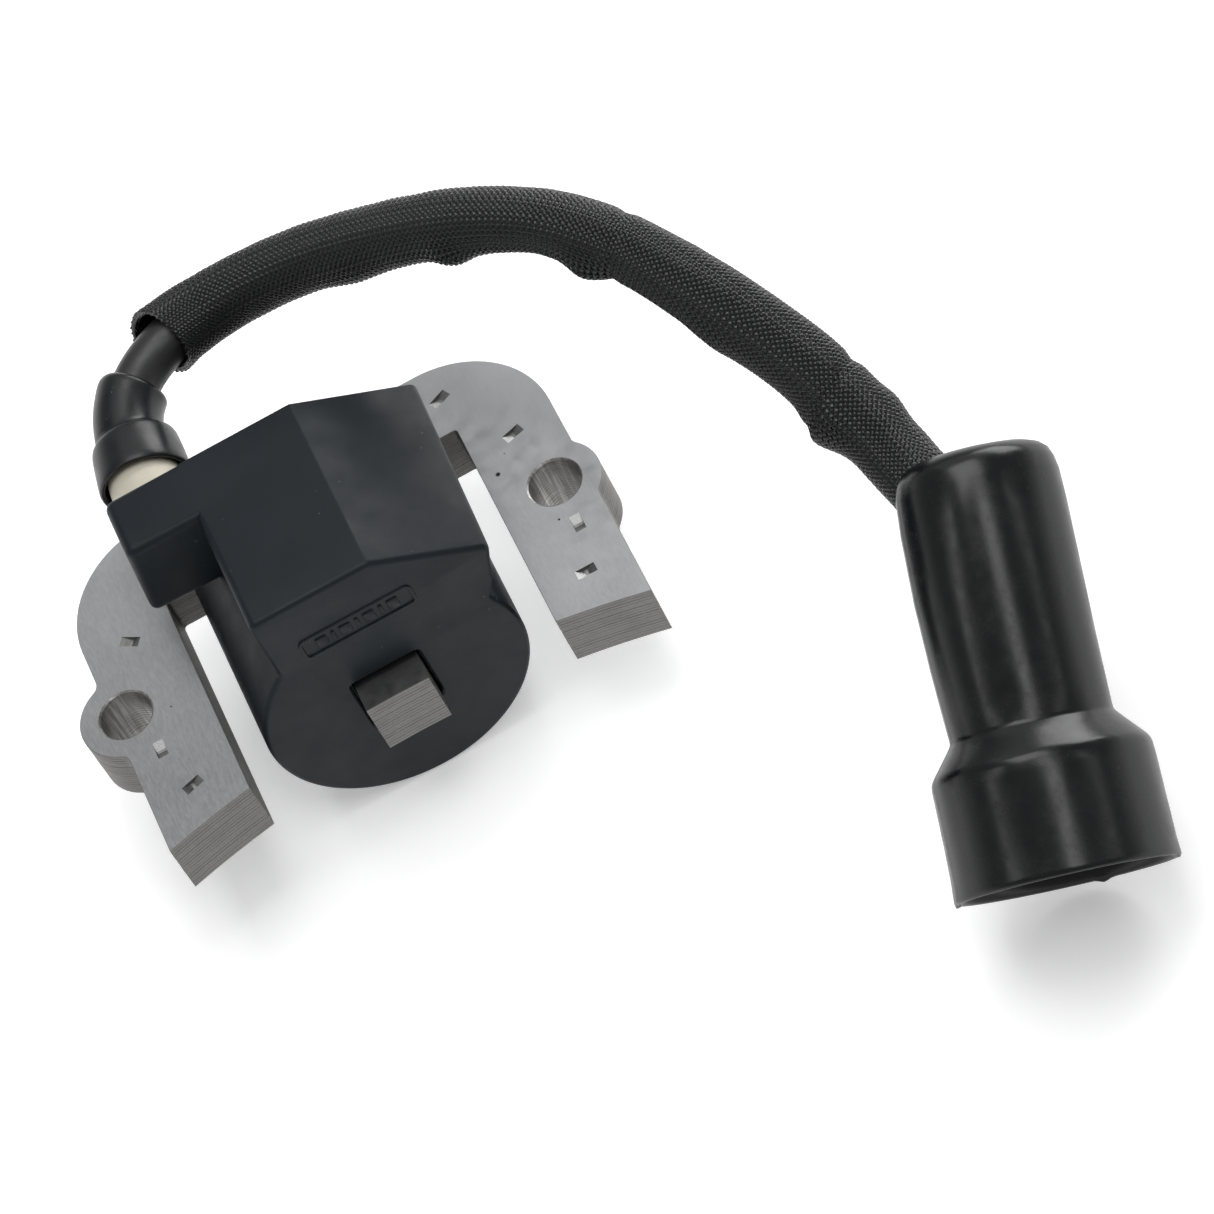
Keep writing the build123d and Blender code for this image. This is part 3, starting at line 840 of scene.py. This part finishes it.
def housing_mesh():
    """Shell: outside from the front to the back rim, then inside to the front wall."""
    edge = 0.7
    levels = [(FRONT_Y + edge * (1 - math.sin(math.radians(18 * k))),
               edge * (1 - math.cos(math.radians(18 * k)))) for k in range(5, -1, -1)]
    levels += [(y, 0.0) for y in (-8.0, -2.0, 4.0, 10.0)]
    levels += [(BACK_Y - 0.3, 0.0), (BACK_Y - 0.08, 0.08), (BACK_Y, 0.3)]
    levels += [(BACK_Y, WALL - 0.15), (BACK_Y - 0.15, WALL), (FRONT_Y + WALL, WALL)]
    shell = [[(x, y, z) for x, z in housing_section(inset, y)] for y, inset in levels]
    vertices, faces = skin(shell)
    window = []
    for y, grow in ((FRONT_Y, 0.25), (FRONT_Y + 0.25, 0.0), (FRONT_Y + WALL, 0.0)):
        size = (WINDOW_SIZE[0] + 2 * grow, WINDOW_SIZE[1] + 2 * grow)
        loop = rounded_rectangle((CORE_X, WINDOW_Z), size, WINDOW_CORNER + grow)
        window.append([(x, y, z) for x, z in loop])
    after_shell, around, across = len(vertices), len(shell[0]), len(window[0])
    append_mesh(vertices, faces, *skin(window))
    for outline, hole in ((0, after_shell), (after_shell - around, len(vertices) - across)):
        faces += fill(vertices, [(outline, around), (hole, across)], (0, 2))
    return mesh_object("coil_housing_visual", vertices, faces, 40.0)


def arm_object():
    """The tower's arm: a drafted box, rounded on its outer edges."""
    inner = BLOCK_LEFT + 1.45
    front, back, bottom = 5.4, 14.9, 16.0
    corners = [(inner, front, bottom), (inner, back, bottom), (inner, back, BLOCK_TOP),
               (inner, front, BLOCK_TOP), (-20.9, front + 0.3, bottom), (-20.9, back, bottom),
               (-19.7, back, BLOCK_TOP), (-19.7, front, BLOCK_TOP)]
    faces = [(0, 1, 2, 3), (7, 6, 5, 4), (0, 3, 7, 4), (1, 5, 6, 2), (3, 2, 6, 7), (0, 4, 5, 1)]
    arm = mesh_object("arm", corners, faces)
    shape = bmesh.new()
    shape.from_mesh(arm.data)
    outer = [edge for edge in shape.edges
             if min(vertex.co.x for vertex in edge.verts) < (inner - 0.1) * MM]
    bmesh.ops.bevel(shape, geom=outer, offset=1.15 * MM, segments=5, profile=0.5,
                    affect="EDGES", clamp_overlap=True)
    shape.to_mesh(arm.data)
    shape.free()
    return arm


def united(base, other):
    """Boolean union of two closed meshes; the second is used up."""
    modifier = base.modifiers.new("union", "BOOLEAN")
    modifier.operation = "UNION"
    modifier.solver = "EXACT"
    modifier.object = other
    bpy.context.view_layer.update()
    ready = base.evaluated_get(bpy.context.evaluated_depsgraph_get())
    old, base.data = base.data, bpy.data.meshes.new_from_object(ready)
    base.modifiers.clear()
    bpy.data.meshes.remove(old)
    bpy.data.objects.remove(other)
    return base


housing = united(housing_mesh(), arm_object())
smooth(housing.data, 30.0)
place(housing, "housing_plastic", ["coil_housing"], ["housing"])

PLATE_CENTRE = (1.5, 19.95)
PLATE_SIZE = (15.4, 3.8)


def raised_line(outline, width, height):
    """Half-round bead along a closed outline on the housing's front, sunk a little into it."""
    rings = []
    profile = [(-width / 2, -0.25), (-width / 2, 0.0), (-width * 0.36, height * 0.75),
               (0.0, height), (width * 0.36, height * 0.75), (width / 2, 0.0), (width / 2, -0.25)]
    for across, out in profile:
        loop = inset_outline(outline, across + width / 2)
        rings.append([(x, FRONT_Y - out, z) for x, z in loop])
    return tube_mesh(rings, loop=True)


def nameplate():
    """Raised border with plain bars in place of the lettering."""
    outline = rounded_rectangle(PLATE_CENTRE, PLATE_SIZE, 0.9)
    vertices, faces = raised_line(outline, 0.45, 0.26)
    widths = [1.5, 0.5, 1.5, 0.5, 1.5, 0.5, 1.5]
    gap = 0.62
    x = PLATE_CENTRE[0] - (sum(widths) + gap * (len(widths) - 1)) / 2
    for width in widths:
        loop = rounded_rectangle((x + width / 2, PLATE_CENTRE[1]), (width, 1.75), 0.2, 3)
        rings = [[(px, FRONT_Y + 0.2, pz) for px, pz in loop],
                 [(px, FRONT_Y - 0.1, pz) for px, pz in loop],
                 [(px, FRONT_Y - 0.2, pz) for px, pz in inset_outline(loop, 0.1)]]
        append_mesh(vertices, faces, *tube_mesh(rings))
        x += width + gap
    return mesh_object("nameplate", vertices, faces, 50.0)


place(nameplate(), "housing_plastic", (), ["housing"])

# ---- bobbin and tower


def bobbin_mesh():
    """Square tube round the centre leg, with a round flange at each end of the winding."""
    outer = rounded_rectangle((CORE_X, WINDOW_Z), (11.0, 11.6), 0.5)
    inner = rounded_rectangle((CORE_X, WINDOW_Z), (9.2, 9.8), 0.2)
    start, end = FRONT_Y + WALL, 14.3
    rings = [[(x, start, z) for x, z in outer], [(x, end - 0.15, z) for x, z in outer],
             [(x, end, z) for x, z in inset_outline(outer, 0.15)],
             [(x, end, z) for x, z in inner], [(x, start, z) for x, z in inner]]
    vertices, faces = tube_mesh(rings, loop=True)
    for flange in (-12.2, 12.2):
        ring = arc((CORE_X, AXIS_Z), 9.2, 0, 352.5, 47)
        hole = arc((CORE_X, AXIS_Z), 7.4, 0, 352.5, 47)
        rings = [[(x, flange, z) for x, z in ring], [(x, flange + 0.8, z) for x, z in ring],
                 [(x, flange + 0.8, z) for x, z in hole], [(x, flange, z) for x, z in hole]]
        append_mesh(vertices, faces, *tube_mesh(rings, loop=True))
    return mesh_object("bobbin", vertices, faces)


place(bobbin_mesh(), "bobbin_plastic", ["primary_bobbin"])


TOWER_AXIS = Vector((0.0, 1.0, 0.0))
# Distance along the axis and radius, right round the tower's section
TOWER_PROFILE = [
    (13.0, 0.6), (13.0, 4.95), (17.9, 4.95), (18.0, 4.9), (18.3, 4.82), (23.2, 4.45),
    (23.5, 4.36), (23.6, 4.2), (23.6, 3.45), (23.4, 3.3), (15.6, 3.3), (15.5, 3.2), (15.5, 0.6),
]
tower_rings = [circle_ring(TOWER + TOWER_AXIS * along, TOWER_AXIS, radius, 96)
               for along, radius in TOWER_PROFILE]
tower = mesh_object("tower_insulator_visual", *tube_mesh(tower_rings, loop=True))
place(tower, "tower_cream", ["tower_insulator"])

# ---- rubber cap

CAP_AXIS = Vector((0.11, 0.99, 0.09)).normalized()
CAP_RIM = Vector((-14.4, 19.7, 22.1))
NECK_RADIUS = 4.2


def cap_mesh():
    """Skirt on the tower, shoulder, and a neck that follows the lead round its bend."""
    count = 72
    skirt = [(0.10, 5.30), (0.0, 5.45), (0.0, 5.72), (0.12, 5.88), (0.4, 5.95), (1.2, 5.93),
             (3.0, 5.82), (4.8, 5.66), (5.6, 5.56), (6.0, 5.44), (6.25, 5.25), (6.4, 4.95),
             (6.55, 4.65), (6.9, 4.48)]
    rings = [circle_ring(CAP_RIM + CAP_AXIS * along, CAP_AXIS, radius, count)
             for along, radius in skirt]
    start = lead_line.nearest(CAP_RIM + CAP_AXIS * 7.6)
    end = lead_line.nearest(Vector(LEAD_ROUTE[2]).lerp(Vector(LEAD_ROUTE[3]), 0.62))
    neck = []
    steps = 14
    for step in range(steps + 1):
        share = step / steps
        neck.append((start + (end - start) * share, NECK_RADIUS + 0.2 + 0.1 * share * share))
    for step in range(1, 7):
        angle = math.radians(15 * step)
        neck.append((end + 1.15 * math.sin(angle),
                     NECK_RADIUS + 0.3 - 1.15 * (1 - math.cos(angle))))
    neck += [(end + 1.1, LEAD_RADIUS + 0.10), (end + 0.4, LEAD_RADIUS + 0.04),
             (start, LEAD_RADIUS + 0.03)]
    for distance, radius in neck:
        centre, tangent, _ = lead_line.at(distance)
        rings.append(circle_ring(centre, tangent, radius, count))
    for along, radius in ((5.2, 3.4), (5.0, 5.0), (0.6, 5.2)):
        rings.append(circle_ring(CAP_RIM + CAP_AXIS * along, CAP_AXIS, radius, count))
    return mesh_object("tower_cap_visual", *tube_mesh(rings, loop=True), 50.0)


cap = place(cap_mesh(), "cap_rubber", ["tower_cap"])

# ---- braided sleeve

STRANDS = 32
TURN_LENGTH = 27.0
# A yarn's section, and its height over the sleeve's surface at the crossings
YARN_HALF_WIDTH, YARN_CROWN, YARN_BELLY = 0.30, 0.13, 0.07
YARN_OVER, YARN_UNDER = 0.15, -0.17
# Distance along the sleeve and radius
SLEEVE_RADII = [
    (0.0, 4.60), (3.0, 4.35), (10.0, 4.10), (30.0, 4.00), (46.0, 3.98), (50.0, 3.95),
    (53.5, 3.80), (63.0, 3.78), (68.0, 3.85), (74.0, 3.90), (80.0, 4.05), (92.0, 4.20),
    (102.0, 4.35), (107.0, 4.20), (112.0, 4.05), (124.0, 4.00),
]
# Lumps where the sleeve is pushed together: place along it, half length, height, direction
SLEEVE_LUMPS = [
    (46.6, 2.6, 1.05, Vector((-0.44, -0.71, -0.55))),
    (67.7, 3.2, 1.65, Vector((-0.42, -0.72, -0.55))),
    (58.0, 5.0, -0.25, Vector((-0.48, -0.70, -0.54))),
    (104.7, 3.2, 1.60, Vector((-0.95, -0.23, -0.16))),
    (107.7, 2.2, 0.45, Vector((0.80, 0.52, 0.30))),
    (29.3, 4.0, 0.62, Vector((-0.30, -0.75, -0.55))),
    (86.7, 4.5, 0.65, Vector((-0.85, -0.45, -0.25))),
]
# Creases right round the sleeve beside its lumps: place along it, half length, depth
SLEEVE_CREASES = [(70.9, 0.9, 0.30), (102.1, 1.0, 0.40)]
sleeve_start = lead_line.nearest(Vector(LEAD_ROUTE[3]).lerp(Vector(LEAD_ROUTE[4]), 0.66))
SLEEVE_SHOWN = 121.7
OPENING_REACH = 7.0
OPENING_SLANT = 1.9
OPENING_AIM = Vector((0.1, -0.55, 0.83))


def sleeve_point(along, angle, lift=0.0):
    """Point on the sleeve's surface and the direction out of it."""
    centre, tangent, normal = lead_line.at(sleeve_start + along)
    side = tangent.cross(normal)
    out = normal * math.cos(angle) + side * math.sin(angle)
    if along < OPENING_REACH:
        # The open end is cut on a slant, shorter on its upper front side.
        along += OPENING_SLANT * out.dot(OPENING_AIM) * (1 - along / OPENING_REACH)
        centre, tangent, _ = lead_line.at(sleeve_start + along)
        out = (out - tangent * out.dot(tangent)).normalized()
    radius = SLEEVE_RADII[-1][1]
    for (before, low), (after, high) in zip(SLEEVE_RADII, SLEEVE_RADII[1:]):
        if along <= after:
            share = max(0.0, (along - before) / (after - before))
            share = share * share * (3 - 2 * share)
            radius = low + (high - low) * share
            break
    for place_along, half, height, aim in SLEEVE_LUMPS:
        reach = (along - place_along) / half
        if abs(reach) < 2.5:
            facing = max(0.0, out.dot(aim.normalized()))
            radius += height * math.exp(-reach * reach) * facing ** 2.2
    for place_along, half, depth in SLEEVE_CREASES:
        # They run slightly on the skew, so they show as a slanting fold.
        reach = (along - place_along - 0.9 * math.sin(angle)) / half
        if abs(reach) < 2.5:
            radius -= depth * math.exp(-reach * reach)
    wrinkle = noise.noise(centre * 0.12 + out * 0.9) * 0.16
    wrinkle += noise.noise(centre * 0.35 + out * 1.7) * 0.07
    if along < 8.0:
        centre = centre + Vector((0.0, 0.45, 0.3)) * (1 - along / 8.0)
    return centre + out * (radius + wrinkle + lift), out


def strand_mesh(name, direction):
    """All flat yarns that run one way round, passing over and under the others in turn."""
    vertices, faces = [], []
    ends = random.Random(5 if direction > 0 else 6)
    spin = 2 * math.pi / TURN_LENGTH * direction
    crossing = TURN_LENGTH / (2 * STRANDS)
    for strand in range(STRANDS):
        trim = ends.uniform(-0.04, 0.04)
        centres, outs = [], []
        for number in range(int(SLEEVE_SHOWN / crossing) + 1):
            height = YARN_OVER if (number % 2 == 0) == (direction > 0) else YARN_UNDER
            for part in (-0.24, 0.24):
                along = (number + part) * crossing
                if number == 0 and part < 0:
                    along -= trim
                angle = 2 * math.pi * strand / STRANDS + spin * along
                point, out = sleeve_point(along, angle, height)
                centres.append(point)
                outs.append(out)
        rings = []
        for index, (point, out) in enumerate(zip(centres, outs)):
            ahead = centres[min(index + 1, len(centres) - 1)]
            behind = centres[max(index - 1, 0)]
            side = (ahead - behind).normalized().cross(out).normalized() * YARN_HALF_WIDTH
            rings.append([point - side, point + out * YARN_CROWN, point + side,
                          point - out * YARN_BELLY])
        append_mesh(vertices, faces, *tube_mesh(rings))
    return mesh_object(name, vertices, faces, 80.0)


def underlay_mesh():
    """The thin inner layer that the yarns lie on, hollow around the lead."""
    count, steps = 48, 160
    rings = []
    for lift, order in ((-0.34, range(steps + 1)), (-0.62, range(steps, -1, -1))):
        for step in order:
            along = SLEEVE_SHOWN * step / steps + 0.25 * (1 - step / steps)
            rings.append([sleeve_point(along, 2 * math.pi * k / count, lift)[0]
                          for k in range(count)])
    return mesh_object("sleeve_underlay", *tube_mesh(rings, loop=True), 60.0)


def rim_mesh():
    """The fused bead along the sleeve's cut end."""
    count, around = 96, 8
    rings = []
    for k in range(around):
        turn = 2 * math.pi * k / around
        rings.append([sleeve_point(0.16 * math.cos(turn), 2 * math.pi * j / count,
                                   -0.12 + 0.36 * math.sin(turn))[0] for j in range(count)])
    return mesh_object("sleeve_rim", *tube_mesh(rings, loop=True), 60.0)


sleeve_pieces = [
    place(strand_mesh("braid_strands_right", 1), "sleeve_braid", ["braided_sleeve"],
          ["braid_right"]),
    place(strand_mesh("braid_strands_left", -1), "sleeve_braid", (), ["braid_left"]),
    place(underlay_mesh(), "sleeve_braid", (), ["braid_under"]),
    place(rim_mesh(), "sleeve_braid", (), ["braid_right"]),
]

# ---- plug boot

BOOT_SIDE = BOOT_AXIS.cross(UP).normalized()
BOOT_UP = BOOT_SIDE.cross(BOOT_AXIS).normalized()
# Distance along the axis and radius, from the closed top down the outside and back up inside
BOOT_PROFILE = [
    (0.00, 0.0), (0.0, 3.0), (0.06, 5.4), (0.28, 6.9), (0.75, 8.1), (1.5, 8.95), (2.6, 9.42),
    (4.2, 9.74), (8.0, 9.92), (16.0, 9.98), (24.0, 9.86), (30.0, 9.74), (32.7, 9.68),
    (33.05, 9.74), (33.35, 9.90), (34.4, 10.75), (35.6, 11.77), (36.5, 12.52), (36.85, 12.78),
    (37.25, 12.98), (37.8, 13.09), (39.0, 13.12), (44.0, 13.13), (49.0, 13.2), (50.6, 13.3),
    (51.1, 13.32), (51.35, 13.2),
    (51.4, 13.0), (51.3, 12.6), (51.0, 12.3), (50.0, 12.12), (44.0, 11.95), (39.4, 11.85),
    (38.4, 11.4), (37.6, 10.2), (37.2, 8.2), (36.9, 6.6), (36.5, 6.05), (35.6, 5.4), (34.8, 5.2),
    (24.2, 5.2), (24.0, 5.0), (24.0, 4.3), (9.2, 4.3), (9.0, 4.1), (9.0, 0.0),
]


def boot_mesh():
    """Moulded boot: long smooth body, shoulder, thin open bell, and a faint parting line."""
    count = 144
    rings = []
    for along, radius in BOOT_PROFILE:
        ring = []
        outside = along < 51.2 and radius > 5.5 and not (along > 36.4 and radius < 12.2)
        for k in range(count):
            angle = 2 * math.pi * k / count
            spread = radius
            bell = max(0.0, (along - 36.0) / 15.4)
            # The soft bell sags a little oval, and the mould's halves meet along a fine ridge.
            spread += (0.18 * math.cos(2 * angle + 0.6) + 0.10 * math.cos(3 * angle)) * bell
            spread += 0.10 * math.cos(2 * angle + 0.9) * min(1.0, radius / 9.0)
            if outside and along > 1.0:
                for seam in (0.35, 0.35 + math.pi):
                    gap = abs((angle - seam + math.pi) % (2 * math.pi) - math.pi)
                    if gap < 2 * math.pi / count * 0.6:
                        spread += 0.07
            reach = along
            if along > 51.2:
                for nub, length in ((0.1, 0.35), (math.pi - 0.05, 0.3), (4.53, 0.4)):
                    gap = abs(angle - nub)
                    reach += length * max(0.0, 1 - gap / 0.09)
            direction = BOOT_SIDE * math.cos(angle) + BOOT_UP * math.sin(angle)
            bow = BOOT_SIDE * (0.45 * math.sin(math.pi * min(along, 40.0) / 40.0))
            ring.append(BOOT_TOP + BOOT_AXIS * reach + bow + direction * spread)
        rings.append(ring)
    vertices, faces = skin(rings[1:-1])
    for ring_start, along in ((0, BOOT_PROFILE[0][0]),
                              (len(vertices) - count, BOOT_PROFILE[-1][0])):
        pole = len(vertices)
        vertices.append(BOOT_TOP + BOOT_AXIS * along)
        faces += [(ring_start + k, ring_start + (k + 1) % count, pole) for k in range(count)]
    return mesh_object("plug_boot_visual", vertices, faces, 60.0)


boot = place(boot_mesh(), "boot_rubber", ["plug_boot"])

# ---- the lead's pieces

place(lead, "lead_rubber", ["lead_insulation"])
place(conductor, "copper_wire", ["lead_conductor"])

# ---- floor and light


def make_floor():
    half = 3000.0
    corners = [(x, y, FLOOR_Z - 0.05)
               for x, y in ((-half, -half), (half, -half), (half, half), (-half, half))]
    floor = mesh_object("floor", corners, [(0, 1, 2, 3)])
    floor.data.materials.append(floor_look().material)


# Name, direction from the object, width and height in millimetres, radiance. The front, left and
# right ones make the boot's three long streaks; the back ones light the steel and the slope.
STUDIO = [
    ("overhead_light", (0.0, 0.10, 1.0), (460, 460), 3.6),
    ("front_light", (0.13, -0.43, 0.90), (150, 260), 4.2),
    ("left_light", (-0.69, -0.06, 0.73), (80, 300), 3.0),
    ("right_light", (0.71, -0.43, 0.57), (60, 300), 1.7),
    ("back_light", (0.05, 0.62, 0.78), (620, 460), 0.55),
    ("slope_light", (0.66, 0.62, 0.43), (460, 360), 5.2),
]
LIGHT_DISTANCE = 720
LIGHT_AIM = Vector((30.0, -15.0, 10.0))


def softbox(name, direction, size, radiance):
    """Rectangular light that faces the object."""
    data = bpy.data.lights.new(name, "AREA")
    data.shape = "RECTANGLE"
    data.size, data.size_y = size[0] * MM, size[1] * MM
    data.energy = radiance * math.pi * data.size * data.size_y
    lamp = bpy.data.objects.new(name, data)
    scene.collection.objects.link(lamp)
    lamp.location = (LIGHT_AIM + direction.normalized() * LIGHT_DISTANCE) * MM
    lamp.rotation_euler = (-direction).to_track_quat("-Z", "Y").to_euler()


def make_world():
    """A dim sky that is pale near the horizon, so low views keep a pale background."""
    world = bpy.data.worlds.new("studio")
    world.use_nodes = True
    nodes, links = world.node_tree.nodes, world.node_tree.links
    split = nodes.new("ShaderNodeSeparateXYZ")
    links.new(nodes.new("ShaderNodeTexCoord").outputs["Generated"], split.inputs["Vector"])
    sky = nodes.new("ShaderNodeValToRGB")
    low, high = sky.color_ramp.elements
    low.position, low.color = 0.02, rgba(0.92)
    high.position, high.color = 0.30, rgba(0.3)
    links.new(split.outputs["Z"], sky.inputs["Fac"])
    links.new(sky.outputs["Color"], nodes["Background"].inputs["Color"])
    scene.world = world


make_floor()
make_world()
for light_name, direction, size, radiance in STUDIO:
    softbox(light_name, Vector(direction), size, radiance)

scene.view_settings.view_transform = "Standard"
scene.view_settings.look = "None"
